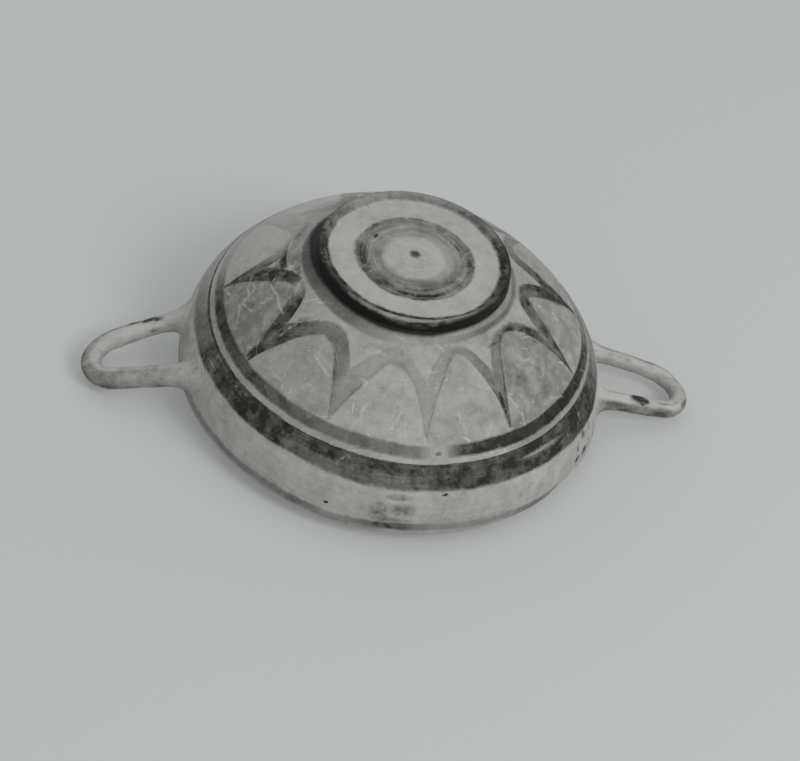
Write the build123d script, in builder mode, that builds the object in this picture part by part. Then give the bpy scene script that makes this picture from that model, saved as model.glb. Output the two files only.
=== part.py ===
from build123d import *
import math
import os

# A Greek pyxis: a low two-handled clay box with a domed lid and a broad disc knob.
# Millimetres, Z up. The origin is on the wheel axis, in the plane that the foot stands on.

# Outside of the box and its lid: one smooth curve of two arcs that meet at the seam
belly_radius = 89.75
belly_height = 11.4
belly_curve = 44.5
edge_height = 7.0
edge_round = 3.0
seam_height = 37.7
seam_round = 0.5
dome_curve = 95.4

# Clay of the box
wall = 5.0
floor = 5.0
floor_corner = 9.0

# Foot ring
foot_radius = 54.0
foot_width = 8.0
foot_height = 3.0
foot_round = 1.2

# Seat of the lid: a flat ledge with a short flange that leans inwards
ledge = 4.5
ledge_slope = 2.0
flange_height = 4.0
flange_width = 4.2
flange_lean = 20.0
flange_round = 1.4
seat_clearance = 3.0

# Lid
lid_wall = 4.6
lid_ceiling = 6.2
collar_rise = 2.7
collar_round = 3.2

# Knob: a disc with a raised edge round a hollowed top
knob_radius = 40.5
knob_height = 5.2
knob_draft = 0.5
crest_width = 1.6
crest_round = 0.7
hollow_depth = 2.6
hollow_slope = 2.4
hollow_crown = 0.4

# Handles: rolled coils that leave the wall and droop towards the tip
coil_radius = 3.9
handle_reach = 131.8
handle_droop = 16.2
handle_splay = 7.8
handle_tip_curve = 12.3
handle_root_height = 16.7
root_radius = 6.6
root_waist = 4.6
root_length = 8.0
root_sink = 4.0


def circle_radius(centre, curve, height):
    """Distance from the axis at which an arc of the profile passes a height."""
    return centre[0] + math.sqrt(curve**2 - (height - centre[1]) ** 2)


def circle_angle(centre, curve, height):
    """Angle in degrees at which an arc of the profile passes a height."""
    return math.degrees(math.asin((height - centre[1]) / curve))


# Centres of the two arcs, which share a tangent at the seam
belly_centre = (belly_radius - belly_curve, belly_height)
edge_angle = circle_angle(belly_centre, belly_curve, edge_height)
seam_angle = circle_angle(belly_centre, belly_curve, seam_height)
seam_radius = circle_radius(belly_centre, belly_curve, seam_height)
dome_centre = (
    seam_radius - dome_curve * math.cos(math.radians(seam_angle)),
    seam_height - dome_curve * math.sin(math.radians(seam_angle)),
)

# Inside faces, parallel to the outside
belly_inside = belly_curve - wall
dome_inside = dome_curve - lid_wall
lid_rim_inside = circle_radius(dome_centre, dome_inside, seam_height)
flange_radius = lid_rim_inside - seat_clearance

# Heights of the knob, which stands on the dome
knob_foot = dome_centre[1] + math.sqrt(dome_curve**2 - (knob_radius - dome_centre[0]) ** 2)
knob_seat = knob_foot + collar_rise
knob_top = knob_seat + knob_height

# Bowl of the box, thrown with an incurving wall, a flat ledge and the flange that centres the lid
floor_height = foot_height + floor
corner_height = edge_height + floor + edge_round / 2
shelf_height = seam_height - ledge
flange_top = seam_height + flange_height
flange_shift = flange_height * math.tan(math.radians(flange_lean))
inside_start = circle_angle(belly_centre, belly_inside, shelf_height - ledge_slope)
inside_end = circle_angle(belly_centre, belly_inside, corner_height)

with BuildPart() as body:
    with BuildSketch(Plane.XZ) as body_profile:
        with BuildLine():
            belly = CenterArc(belly_centre, belly_curve, edge_angle, seam_angle - edge_angle)
            inside = CenterArc(belly_centre, belly_inside, inside_start, inside_end - inside_start)
            Polyline(
                inside @ 1,
                (foot_radius - wall, floor_height),
                (0, floor_height),
                (0, foot_height),
                (foot_radius, foot_height),
                belly @ 0,
            )
            Polyline(
                belly @ 1,
                (flange_radius, seam_height),
                (flange_radius - flange_shift, flange_top),
                (flange_radius - flange_shift - flange_width, flange_top),
                (flange_radius - flange_width, shelf_height),
                inside @ 0,
            )
        make_face()
        fillet(body_profile.vertices().group_by(Axis.Y)[-1], flange_round)
        fillet(body_profile.vertices().sort_by_distance(belly @ 0)[0], edge_round)
        fillet(body_profile.vertices().sort_by_distance(belly @ 1)[0], seam_round)
        fillet(body_profile.vertices().sort_by_distance(inside @ 1)[0], floor_corner)
    revolve(axis=Axis.Z)

# Foot ring, stuck under the flat middle of the bowl
with BuildPart() as foot_ring:
    with BuildSketch():
        Circle(foot_radius)
        Circle(foot_radius - foot_width, mode=Mode.SUBTRACT)
    extrude(amount=foot_height)
    fillet(foot_ring.edges().group_by(Axis.Z)[0], foot_round)

# Dome of the lid, hollow underneath, with a flat seat for the knob
ceiling_height = knob_seat - lid_ceiling
collar_angle = circle_angle(dome_centre, dome_curve, knob_foot)
under_start = circle_angle(dome_centre, dome_inside, ceiling_height)
under_end = circle_angle(dome_centre, dome_inside, seam_height)

with BuildPart() as lid:
    with BuildSketch(Plane.XZ) as lid_profile:
        with BuildLine():
            dome = CenterArc(dome_centre, dome_curve, seam_angle, collar_angle - seam_angle)
            under = CenterArc(dome_centre, dome_inside, under_start, under_end - under_start)
            Polyline(dome @ 1, (knob_radius, knob_seat), (0, knob_seat), (0, ceiling_height), under @ 0)
            Line(under @ 1, dome @ 0)
        make_face()
        fillet(lid_profile.vertices().sort_by_distance(dome @ 1)[0], collar_round)
        fillet(lid_profile.vertices().sort_by_distance(dome @ 0)[0], seam_round)
    revolve(axis=Axis.Z)

# Knob, a disc whose raised edge stands round a hollowed and slightly crowned top
crest_radius = knob_radius - knob_draft
crest_inside = crest_radius - crest_width
hollow_radius = crest_inside - hollow_slope
hollow_height = knob_top - hollow_depth

with BuildPart() as lid_knob:
    with BuildSketch(Plane.XZ) as knob_profile:
        with BuildLine():
            disc = Polyline(
                (0, hollow_height + hollow_crown),
                (0, knob_seat),
                (knob_radius, knob_seat),
                (crest_radius, knob_top),
                (crest_inside, knob_top),
                (hollow_radius, hollow_height),
            )
            TangentArc(disc @ 0, disc @ 1, tangent=(1, 0))
        make_face()
        fillet(knob_profile.vertices().group_by(Axis.Y)[-1], crest_round)
    revolve(axis=Axis.Z)

# Outside of the wall as a plain solid, which trims the handle ends to the wall
with BuildPart() as wall_outside:
    with BuildSketch(Plane.XZ):
        with BuildLine():
            trim = CenterArc(belly_centre, belly_curve, edge_angle, seam_angle - edge_angle)
            Polyline(trim @ 1, (0, seam_height), (0, edge_height), trim @ 0)
        make_face()
    revolve(axis=Axis.Z)

# Right handle, one coil: two arms that close in a round tip, and roots that spread on the wall.
# In the plane of the loop, X runs from the wall to the tip and Y across the loop.
droop = math.radians(handle_droop)
splay = math.radians(handle_splay)
root_distance = circle_radius(belly_centre, belly_curve, handle_root_height)
loop_plane = Plane(
    origin=(root_distance, 0, handle_root_height),
    x_dir=(math.cos(droop), 0, -math.sin(droop)),
    z_dir=(math.sin(droop), 0, math.cos(droop)),
)
tip_centre = (handle_reach - coil_radius - root_distance) / math.cos(droop) - handle_tip_curve
wall_half_span = handle_tip_curve / math.cos(splay) + tip_centre * math.tan(splay)
coil_half_span = wall_half_span - root_length * math.tan(splay)

with BuildPart() as handle_right:
    with BuildLine(loop_plane) as middle_line:
        tip = CenterArc((tip_centre, 0), handle_tip_curve, handle_splay - 90, 180 - 2 * handle_splay)
        Line((root_length, -coil_half_span), tip @ 0)
        Line(tip @ 1, (root_length, coil_half_span))
    middle = middle_line.wire()
    with BuildSketch(Plane(origin=middle @ 0, z_dir=middle % 0)):
        Circle(coil_radius)
    sweep(path=middle)
    for arm in (-1, 1):
        root = loop_plane.from_local_coords((0, arm * wall_half_span, 0))
        coil_end = loop_plane.from_local_coords((root_length, arm * coil_half_span, 0))
        along = (coil_end - root).normalized()
        outwards = Vector(root.X, root.Y, 0).normalized()
        with BuildSketch(Plane(origin=coil_end, z_dir=along)):
            Circle(coil_radius)
        with BuildSketch(Plane(origin=(root + coil_end) / 2, z_dir=along + outwards)):
            Circle(root_waist)
        with BuildSketch(Plane(origin=root, z_dir=outwards)):
            Circle(root_radius)
        with BuildSketch(Plane(origin=root - outwards * root_sink, z_dir=outwards)):
            Circle(root_radius)
        loft()
    add(wall_outside.part, mode=Mode.SUBTRACT)

# Left handle, the same coil on the other side of the box
with BuildPart() as handle_left:
    mirror(handle_right.part, about=Plane.YZ)

body.part.label = "body"
foot_ring.part.label = "foot_ring"
handle_left.part.label = "handle_left"
handle_right.part.label = "handle_right"
lid.part.label = "lid"
lid_knob.part.label = "lid_knob"

os.makedirs("parts", exist_ok=True)
export_step(body.part, "parts/body.step")
export_step(foot_ring.part, "parts/foot_ring.step")
export_step(handle_left.part, "parts/handle_left.step")
export_step(handle_right.part, "parts/handle_right.step")
export_step(lid.part, "parts/lid.step")
export_step(lid_knob.part, "parts/lid_knob.step")
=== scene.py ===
import math

import bpy
import numpy as np
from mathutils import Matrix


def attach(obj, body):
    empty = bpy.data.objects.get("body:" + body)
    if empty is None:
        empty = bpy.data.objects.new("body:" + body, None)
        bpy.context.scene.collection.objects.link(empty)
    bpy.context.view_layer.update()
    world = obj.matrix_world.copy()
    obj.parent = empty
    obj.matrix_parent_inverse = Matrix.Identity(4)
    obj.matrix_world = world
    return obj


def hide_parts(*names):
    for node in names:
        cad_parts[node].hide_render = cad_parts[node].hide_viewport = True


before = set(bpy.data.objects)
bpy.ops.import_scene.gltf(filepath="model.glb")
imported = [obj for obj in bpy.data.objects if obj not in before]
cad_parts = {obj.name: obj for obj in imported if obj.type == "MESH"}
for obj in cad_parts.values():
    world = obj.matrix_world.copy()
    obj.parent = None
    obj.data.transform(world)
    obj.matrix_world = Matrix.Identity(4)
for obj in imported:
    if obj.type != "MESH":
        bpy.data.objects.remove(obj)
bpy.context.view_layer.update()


# Body of the box: a low bowl thrown in pale clay, with an incurving wall, a flat ledge and a short flange
# that centres the lid. A broad band of dark slip was brushed on at the wheel under the ledge, and a thin
# line along the lower edge; both are worn, streaky and flaked, and the lower edge has lost a chip. The
# edge line also carries painted shade where the wall turns under, strongest on the front left.
mm = 0.001
belly_radius, belly_height, belly_curve = 89.75, 11.4, 44.5
edge_height, seam_height, foot_height = 7.0, 37.7, 3.0
foot_radius, wall, floor_height = 54.0, 5.0, 8.0
flange_radius, flange_lean, flange_top, flange_width = 72.36, 1.46, 41.7, 4.2
shelf_height, shelf_slope = 33.2, 2.0
edge_radius, corner_radius, corner_height = 86.0, 84.0, 13.5
belly_centre = (belly_radius - belly_curve, belly_height)
body_columns = 420
chip_at, chip_width, chip_height, chip_in, chip_up, sag_top = -38.5, 7.5, 2.6, 0.6, 0.9, 26
# A run is a distance in mm down the outside, counted from about the foot of the knob. The seam is the same
# corner, counted from the first, in the paths of the body and of the lid.
seam_run = 51.2
arc_points = 60
seam_mark = arc_points + 1


def corner(r, z, soft=0.4, pitch=1.0):
    """One corner of a section: its radius and height, its softness and the pitch of the rows there."""
    return np.array([[r, z, soft, pitch]])


def height_angle(centre, curve, height):
    """Angle, in degrees, at which a circle of the section reaches a height."""
    return math.degrees(math.asin((height - centre[1]) / curve))


def arc(centre, curve, first, last, pitch, soft=0.4):
    """Part of a circle of the section, from one angle in degrees to another, as close corner points."""
    angle = np.radians(np.linspace(first, last, arc_points))
    r = centre[0] + curve * np.cos(angle)
    z = centre[1] + curve * np.sin(angle)
    return np.stack([r, z, np.full(arc_points, soft), np.full(arc_points, pitch)], 1)


def thrown_section(path, step=0.2):
    """Section of a thrown piece: the corner points are joined by straight runs and sampled at an even step,
    and each sample becomes the bell-weighted mean of its neighbours, as wide as the softness there, which
    rounds the corners. Rows are then spread along it at the pitch asked for. Gives (r, z) of the rows, their
    distances along it and those of the corners."""
    along = np.r_[0, np.cumsum(np.hypot(*np.diff(path[:, :2], axis=0).T))]
    even = np.linspace(0, along[-1], int(along[-1] / step))
    dense = np.stack([np.interp(even, along, path[:, k]) for k in range(4)], 1)
    weight = np.exp(-0.5 * ((even[:, None] - even) / dense[:, 2:3]) ** 2)
    line = weight @ dense[:, :2] / weight.sum(1, keepdims=True)
    line[[0, -1]] = path[[0, -1], :2]
    row = np.r_[0, np.cumsum(np.diff(even) / dense[1:, 3])]
    spread = np.linspace(0, row[-1], int(row[-1]) + 1)
    section = np.stack([np.interp(spread, row, line[:, k]) for k in (0, 1)], 1)
    return section, np.interp(spread, row, even), along


def signed(degrees):
    """The same turn, counted from -180 to 180 degrees."""
    return (degrees + 180) % 360 - 180


def ramp(value, none_at, full_at):
    """0 at one mark and before it, 1 at the other and past it, and a straight run between them."""
    return np.clip((value - none_at) / (full_at - none_at), 0, 1)


def run_out(turn, r, z):
    """How far a hand-thrown wall stands off the true circle, in mm: slow waves two and three times round
    that grow with the radius and drift with the height, the faint spiral ridges of the fingers, and on the
    right a bulge of the outer wall, fuller low down, where the handle was pressed on."""
    waves = 0.22 * np.cos(2 * turn + 0.7 + z / 60) + 0.12 * np.cos(3 * turn - 1.1)
    ridges = 0.045 * np.sin(2 * np.pi * z / 3.4 + turn) + 0.03 * np.sin(2 * np.pi * z / 1.9 - turn)
    degrees = signed(np.degrees(turn))
    bulge = 0.75 * np.exp(-(((degrees + 8) / 26) ** 2)) * ramp(r, 64, 80)
    bulge_low = 1.3 * np.exp(-(((degrees + 25) / 6.5) ** 2)) * ramp(r, 74, 84) * ramp(z, 30, 18)
    return r / belly_radius * (waves + ridges) + bulge + bulge_low


def clay_piece(name, points, faces):
    """Smooth object from points in mm and arrays of faces, set into the mesh as whole lists."""
    mesh = bpy.data.meshes.new(name)
    mesh.from_pydata((points * mm).tolist(), [], sum((part.tolist() for part in faces), []))
    mesh.shade_smooth()
    obj = bpy.data.objects.new(name, mesh)
    bpy.context.scene.collection.objects.link(obj)
    return obj


def spun(name, section, columns, moved=None, closed=False):
    """Surface of a thrown piece: every point (r, z) of the section carried round the axis,
    (r cos t, r sin t, z), with r widened by the run-out. A section that starts or ends on the axis closes in
    a point; a closed one joins its last row to its first. moved may shift the grids of turn, r and z. Gives
    the object, and the turn in degrees and the row number of each vertex."""
    turn = np.linspace(0, 2 * np.pi, columns, endpoint=False)
    grid_turn, r = np.meshgrid(turn, section[:, 0])
    z = np.repeat(section[:, 1:2], columns, 1)
    r = r + run_out(grid_turn, r, z) * (r > 0)
    if moved:
        r, z = moved(grid_turn, r, z)
    low_pole, high_pole = int(section[0, 0] < 1e-6), int(section[-1, 0] < 1e-6)
    ring = np.arange(r.size).reshape(-1, columns)
    after = np.roll(ring, -1, 1)
    quads = np.stack([ring[:-1], after[:-1], after[1:], ring[1:]], 2)[low_pole:len(section) - 1 - high_pole]
    faces = [quads.reshape(-1, 4)]
    if closed:
        faces.append(np.stack([ring[-1], after[-1], after[0], ring[0]], 1))
    if low_pole:
        faces.append(np.stack([np.full(columns, ring[0, 0]), after[1], ring[1]], 1))
    if high_pole:
        faces.append(np.stack([ring[-2], after[-2], np.full(columns, ring[-1, 0])], 1))
    points = np.stack([r * np.cos(grid_turn), r * np.sin(grid_turn), z], 2).reshape(-1, 3)
    used = np.unique(np.r_[quads.ravel(), ring[0, 0], ring[-1, 0]])
    fresh = np.zeros(ring.size, int)
    fresh[used] = np.arange(len(used))
    obj = clay_piece(name, points[used], [fresh[part] for part in faces])
    obj.data.validate()
    return obj, np.degrees(grid_turn).reshape(-1)[used], np.repeat(np.arange(len(section)), columns)[used]


def note(obj, **values):
    """Keeps a number for each vertex under a name that the finish reads."""
    for name, value in values.items():
        layer = obj.data.attributes.new(name, "FLOAT", "POINT")
        layer.data.foreach_set("value", np.asarray(value, np.float32))


def round_pot(degrees, *stops):
    """A value that changes round the pot: straight runs between (degrees, value) stops, joined up at 360."""
    at, value = zip(*stops)
    return np.interp(degrees, at, value, period=360)


class Shade:
    """A shader socket that takes part in Python sums: each operator adds the Math node for it."""

    def __init__(self, tree, socket):
        self.tree = tree
        self.socket = socket

    def node(self, kind, settings, inputs, out=0):
        """Adds a node, with its settings first and then its sockets' values or links; gives an output."""
        fresh = self.tree.nodes.new("ShaderNode" + kind)
        for key, value in settings.items():
            setattr(fresh, key, value)
        for key, value in inputs.items():
            if isinstance(value, Shade):
                self.tree.links.new(value.socket, fresh.inputs[key])
            else:
                fresh.inputs[key].default_value = value
        return Shade(self.tree, fresh.outputs[out])

    def math(self, operation, *values):
        return self.node("Math", {"operation": operation}, dict(enumerate(values)))

    def __add__(self, other):
        return self.math("ADD", self, other)

    def __sub__(self, other):
        return self.math("SUBTRACT", self, other)

    def __rsub__(self, other):
        return self.math("SUBTRACT", other, self)

    def __mul__(self, other):
        return self.math("MULTIPLY", self, other)

    def __abs__(self):
        return self.math("ABSOLUTE", self)

    __radd__ = __add__
    __rmul__ = __mul__

    def least(self, other):
        return self.math("MINIMUM", self, other)

    def most(self, other):
        return self.math("MAXIMUM", self, other)

    def ease(self, low, high):
        """0 up to low, 1 from high on, and a smooth step between them."""
        return self.node("MapRange", {"interpolation_type": "SMOOTHSTEP"}, {0: self, 1: low, 2: high})

    def blend(self, first, second):
        """Colour that goes from the first to the second as this value goes from 0 to 1."""
        return self.node("Mix", {"data_type": "RGBA"}, {0: self, 6: first, 7: second}, 2)

    def noted(self, name):
        return self.node("Attribute", {"attribute_name": name}, {}, "Fac")

    def axis(self, letter):
        return self.node("SeparateXYZ", {}, {0: self}, letter)

    def cloud(self, size, detail=2.0, rough=0.5, wander=0.0):
        """Soft noise round 0.5 whose lumps are about size mm across."""
        sockets = {"Vector": self, "Scale": 1 / size, "Detail": detail}
        sockets.update(Roughness=rough, Distortion=wander)
        return self.node("TexNoise", {}, sockets)

    def drawn_out(self, length, width):
        """Place for noise that is drawn out along X: length mm long and width mm wide."""
        scale = (1 / length, 1 / width, 1 / width)
        return self.node("VectorMath", {"operation": "MULTIPLY"}, {0: self, 1: scale})

    def stretched(self, third, along, across):
        """Place for brushed streaks: along mm long round the pot, across mm wide down the section."""
        x, y = self.axis("X") * (1 / along), self.axis("Y") * (1 / along)
        return self.node("CombineXYZ", {}, {0: x, 1: y, 2: third * (1 / across)})


def open_finish(name):
    """Starts a finish: its material, its Principled shader, and each point's place in millimetres."""
    material = bpy.data.materials.new(name)
    material.use_nodes = True
    tree = material.node_tree
    place = Shade(tree, tree.nodes.new("ShaderNodeTexCoord").outputs["Object"])
    return material, place.node("VectorMath", {"operation": "SCALE"}, {0: place, "Scale": 1000.0})


def fired_clay(place, pale=(0.400, 0.394, 0.374, 1), dull=(0.250, 0.246, 0.230, 1)):
    """Bare fired clay: clouds of 16 mm, mottling of 4.5 mm and fine grit pull the pale tone to the dull."""
    depth = (place.cloud(16, 3) - 0.5) * 0.9 + (place.cloud(4.5, 5, 0.68) - 0.5) * 1.3
    depth = depth + (place.cloud(0.8, 2) - 0.5) * 0.5 + 0.3
    return depth.ease(0.0, 1.0).blend(pale, dull)


def scratches(place):
    """Whitish scratches: straight nicks, from noise drawn out along five directions; a few long hairlines
    where a wandering noise passes its middle, cut short by a second noise; and specks in patches."""
    marks = place.cloud(1.6, 3, 0.65).ease(0.62, 0.76) * place.cloud(15, 2).ease(0.48, 0.62) * 0.4
    nick_width, tilt = 2.1, 0.3
    nicks = (0.2, 0.3, 26), (-0.3, 1.15, 20), (0.45, 1.9, 30), (-0.15, 2.7, 18), (0.9, 0.8, 22)
    for lean, turned, length in nicks:
        sockets = {"Vector": place, "Rotation": (tilt, lean, turned)}
        laid = place.node("VectorRotate", {"rotation_type": "EULER_XYZ"}, sockets)
        nick = laid.drawn_out(length, nick_width).cloud(1, 2, 0.45).ease(0.67, 0.77)
        marks = marks.most(nick * place.cloud(11, 2).ease(0.42, 0.58))
    for size, width, kept in ((42.0, 0.006, 0.53), (27.0, 0.009, 0.54)):
        line = 1 - abs(place.cloud(size, 1.5, 0.4) - 0.5).ease(width * 0.2, width)
        marks = marks.most(line * place.cloud(size * 0.2, 3, 0.6).ease(kept, kept + 0.12))
    return marks


def slip_cover(place, coat, strength, wear=1.0):
    """How dark a coat of slip is: its shape times its strength, thinned in patches and broken by flakes."""
    thin = place.cloud(8, 4, 0.6).ease(0.35, 0.65) * 0.24 + place.cloud(1.6, 3, 0.6).ease(0.3, 0.7) * 0.14
    flake = place.cloud(3.4, 5, 0.66, 0.4).ease(0.64, 0.70) * (0.6 * wear)
    grain = place.cloud(1.4, 3, 0.6).ease(0.35, 0.75) * 0.05
    grain = grain + place.cloud(7, 3, 0.55).ease(0.40, 0.66) * 0.16
    return (coat * strength * (1.18 - thin)).least(1.0) * (1 - flake) * (1 - grain * wear)


def ragged_noise(place):
    """Fine noise round 0 that frays the edges of stains and rubbed spots."""
    return (place.cloud(3.2, 5, 0.68) - 0.5) * 2.2


def stained(place, fray):
    """Cover of the stains, frayed by a share of the ragged noise."""
    return (place.noted("stain") * (1 + ragged_noise(place) * fray)).ease(0.15, 1.0) * 0.98


def close_finish(place, obj, colour, cover, height):
    """Ends a finish: matt clay, a little smoother under slip, with the height as bump."""
    bump_strength, bump_depth = 0.7, 0.25 * mm
    shader = place.tree.nodes["Principled BSDF"]
    rough = 0.76 - cover * 0.16 + (place.cloud(4, 3) - 0.5) * 0.16
    sockets = {"Strength": bump_strength, "Distance": bump_depth, "Height": height}
    bump = place.node("Bump", {}, sockets, "Normal")
    for socket, value in (("Base Color", colour), ("Roughness", rough), ("Normal", bump)):
        place.tree.links.new(value.socket, shader.inputs[socket])
    shader.inputs["Specular IOR Level"].default_value = 0.14


def blots(degrees, run, *marks):
    """Stains and rubbed spots: flat-topped bells at a place round the pot and down its wall, each with a
    half width in degrees, a half height in mm and a depth; the deepest one counts."""
    depth = np.zeros_like(run)
    for turned, down, wide, high, dark in marks:
        apart = (signed(degrees - turned) / wide) ** 2 + ((run - down) / high) ** 2
        depth = np.maximum(depth, dark * np.exp(-(apart**1.5)))
    return depth


belly_edge = height_angle(belly_centre, belly_curve, edge_height)
belly_seam = height_angle(belly_centre, belly_curve, seam_height)
inside_curve = belly_curve - wall
inside_top = height_angle(belly_centre, inside_curve, shelf_height - shelf_slope)
inside_low = height_angle(belly_centre, inside_curve, corner_height)
body_path = np.concatenate([
    corner(0, foot_height, 0.05, 3.0),
    corner(foot_radius, foot_height, 0.8, 2.0),
    corner(edge_radius, edge_height - 0.3, 1.6, 0.6),
    arc(belly_centre, belly_curve, belly_edge, belly_seam, 0.55, 0.6)[1:-1],
    corner(belly_centre[0] + belly_curve * math.cos(math.radians(belly_seam)), seam_height, 0.4, 0.4),
    corner(flange_radius, seam_height, 0.5, 0.8),
    corner(flange_radius - flange_lean, flange_top, 1.0, 0.6),
    corner(flange_radius - flange_lean - flange_width, flange_top, 1.0, 0.6),
    corner(flange_radius - flange_width, shelf_height, 1.5, 0.9),
    arc(belly_centre, inside_curve, inside_top, inside_low, 1.2, 1.2),
    corner(corner_radius, corner_height - 0.1, 5.5, 1.2),
    corner(foot_radius - wall, floor_height, 3.0, 1.6),
    corner(0, floor_height, 0.05, 3.0),
])
body_section, body_along, body_marks = thrown_section(body_path)


def lower_edge(turn, r, z):
    """The lower edge, which sags a little on the front and the right as the wheel left it, by a share that
    fades up the wall, and is chipped on the right: a flat, ragged bell lifts the edge and draws it in."""
    degrees = signed(np.degrees(turn))
    sag = round_pot(
        degrees, (-165, 0), (-130, 0.7), (-105, 1.5), (-80, 1.8), (-50, 2.1), (-22, 2), (10, 0.9), (50, 0),
    )
    z = z - sag * ramp(r, 62, 82) * ramp(z, sag_top, edge_height)
    ragged = 0.3 * np.sin(turn * 61) + 0.25 * np.sin(turn * 97 + 1)
    chip = np.exp(-(((degrees - chip_at) / chip_width) ** 4)) * (chip_height + ragged)
    near = ramp(r, 80, edge_radius) * ramp(z, edge_height + 12, edge_height)
    lift = np.clip(edge_height - sag + chip - z, 0, None) * near
    return r - chip_in * lift, z + chip_up * lift


body, body_turn, body_row = spun("clay_body", body_section, body_columns, lower_edge)
body_run = seam_run + body_marks[seam_mark] - body_along[body_row]
body_outside = ramp(body_run, seam_run, seam_run + 2) * ramp(body_section[body_row, 0], 40, 70)
note(
    body,
    run=body_run,
    band_end=round_pot(
        body_turn, (-190, 59.6), (-175, 59.9), (-165, 60.4), (-150, 60.1), (-140, 61.1), (-130, 60.7),
        (-120, 60.9), (-113, 61.8), (-100, 61.9), (-90, 62.2), (-78, 62.3), (-65, 62.5), (-55, 63.1),
        (-45, 63.6), (-35, 64.4), (-20, 64.2), (-10, 61.8), (90, 61.3),
    ),
    band=round_pot(
        body_turn, (-206, 0.05), (-194, 0.28), (-185, 0.5), (-176, 0.66), (-166, 0.82), (-152, 0.98),
        (-142, 0.99), (-131, 0.99), (-128, 0.88), (-116, 0.84), (-113, 0.93), (-88, 0.91), (-70, 0.98),
        (-45, 0.96), (-20, 0.98), (-12, 0.75), (-4, 0.42), (8, 0.42), (25, 0.6), (90, 0.7), (130, 0.3),
    ),
    thin_below=round_pot(body_turn, (-190, 0), (-128, 0), (-114, 0.22), (-92, 0.22), (-80, 0.1), (-55, 0)),
    # The slip line along the lower edge, darker on the front left and dropped to the very edge in places,
    # where it is also painted shade under the turning wall.
    edge_line=round_pot(
        body_turn, (-185, 0.1), (-165, 0.36), (-150, 0.5), (-140, 0.62), (-131, 0.42), (-120, 0.7),
        (-112, 0.36), (-104, 0.5), (-97, 0.76), (-91, 0.74), (-84, 0.36), (-64, 0.36), (-56, 0.52),
        (-50, 0.7), (-45, 0.5), (-41, 0), (-20, 0), (10, 0.35), (60, 0.55), (120, 0.5),
    ),
    line_drop=round_pot(
        body_turn, (-150, 0), (-138, 0.1), (-130, 0.5), (-120, 0.6), (-112, 1.5), (-104, 0.7), (-97, 0.1),
        (-90, -0.2), (-75, 0), (-66, 0.5), (-60, 1.2), (-54, 1.9), (-45, 2.5), (-35, 2), (0, 0),
    ),
    # Round the pot the bare clay is darkened here: partly a dull wash, and partly painted shade on the left
    # and at the back, away from the lamp.
    shade=round_pot(
        body_turn, (-205, 0.05), (-190, 0.3), (-165, 0.22), (-140, 0), (-115, 0.12), (-60, 0.14),
        (0, 0.2), (90, 0.3),
    ) * body_outside,
    stain=blots(
        body_turn, body_run, (-141, 53.5, 2.6, 3.8, 1), (-132, 56, 2, 5.5, 1), (-136, 59.5, 4, 1.8, 0.9),
        (-92.5, 71, 4.8, 3.7, 0.59), (-98.5, 73, 3.8, 6, 0.56), (-94, 65.5, 4.2, 2, 0.56),
        (-95, 76, 7, 2, 0.56), (-95, 79.3, 9, 2.4, 0.74), (-53, 60.2, 11, 1.1, 0.9),
        (-81.8, 63.7, 0.5, 0.8, 2.6), (-112.5, 74.6, 0.5, 0.6, 1.9), (-22.5, 75.5, 1.3, 4.5, 0.85),
        (-29.5, 75.5, 1.3, 2.6, 0.85), (-30.5, 66.5, 1.3, 3, 0.7), (-33, 76.5, 1.3, 2.2, 0.9),
        (-33.5, 70, 1, 3.5, 0.6), (-26.5, 66, 1.1, 3.5, 0.6), (-35, 58.5, 4, 3, 1),
        (-43, 58, 2, 2.6, 0.9), (-147, 67.5, 1.5, 1.2, 0.4), (60, 70, 5, 5, 0.5), (150, 72, 4, 5, 0.5),
    ),
    rub=blots(
        body_turn, body_run, (-162, 56.5, 2.4, 2.8, 0.7), (-171, 54, 5, 3.5, 0.45),
        (-50, 56.5, 9.5, 1.8, 1), (-88.5, 57, 0.5, 6, 0.35), (-66, 53, 6, 1, 0.3), (-15, 57, 6, 2, 0.4),
        (70, 56, 8, 2.5, 0.4), (120, 58, 6, 2, 0.5),
    ),
)

slip, pale_scratch = (0.0130, 0.0128, 0.0108, 1), (0.52, 0.515, 0.495, 1)
dull_tone_and_shade, drip_tone = (0.200, 0.197, 0.184, 1), (0.190, 0.187, 0.174, 1)
band_top, lower_start, line_top, line_low = (49.8, 51.2), (54.8, 56.6), (76.4, 78.2), (80.2, 82.2)
body_clay, place = open_finish("painted_clay")
run, band_end = place.noted("run"), place.noted("band_end")
wobble = (place.cloud(9, 2) - 0.5) * 2.0 + (place.cloud(2.0, 2) - 0.5) * 0.8
painted = run + wobble
wide_band = painted.ease(*band_top) * (1 - painted.ease(band_end - 1.0, band_end + 1.0))
streaks = place.stretched(run, 20, 1.3).cloud(1, 3, 0.6)
lower_half = run.ease(*lower_start) * place.noted("thin_below")
wide_depth = place.noted("band") * (1.10 - streaks.ease(0.42, 0.75) * 0.16 - lower_half)
rub_depth = 0.45 + streaks.ease(0.35, 0.65) * 0.5 + ragged_noise(place) * 0.3
rubbed = (place.noted("rub") * rub_depth).ease(0.1, 1.0) * 0.7
wide_cover = slip_cover(place, wide_band, wide_depth) * (1 - rubbed)
# The edge line: slip, with painted shade where it is dropped to the edge.
line_run = painted - place.noted("line_drop")
edge_line = line_run.ease(*line_top) * (1 - line_run.ease(*line_low))
edge_cover = slip_cover(place, edge_line, place.noted("edge_line"), 0.6)
cover = wide_cover.most(edge_cover).most(stained(place, 0.9)).least(1.0)
lines = scratches(place)
clay = fired_clay(place)
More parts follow.
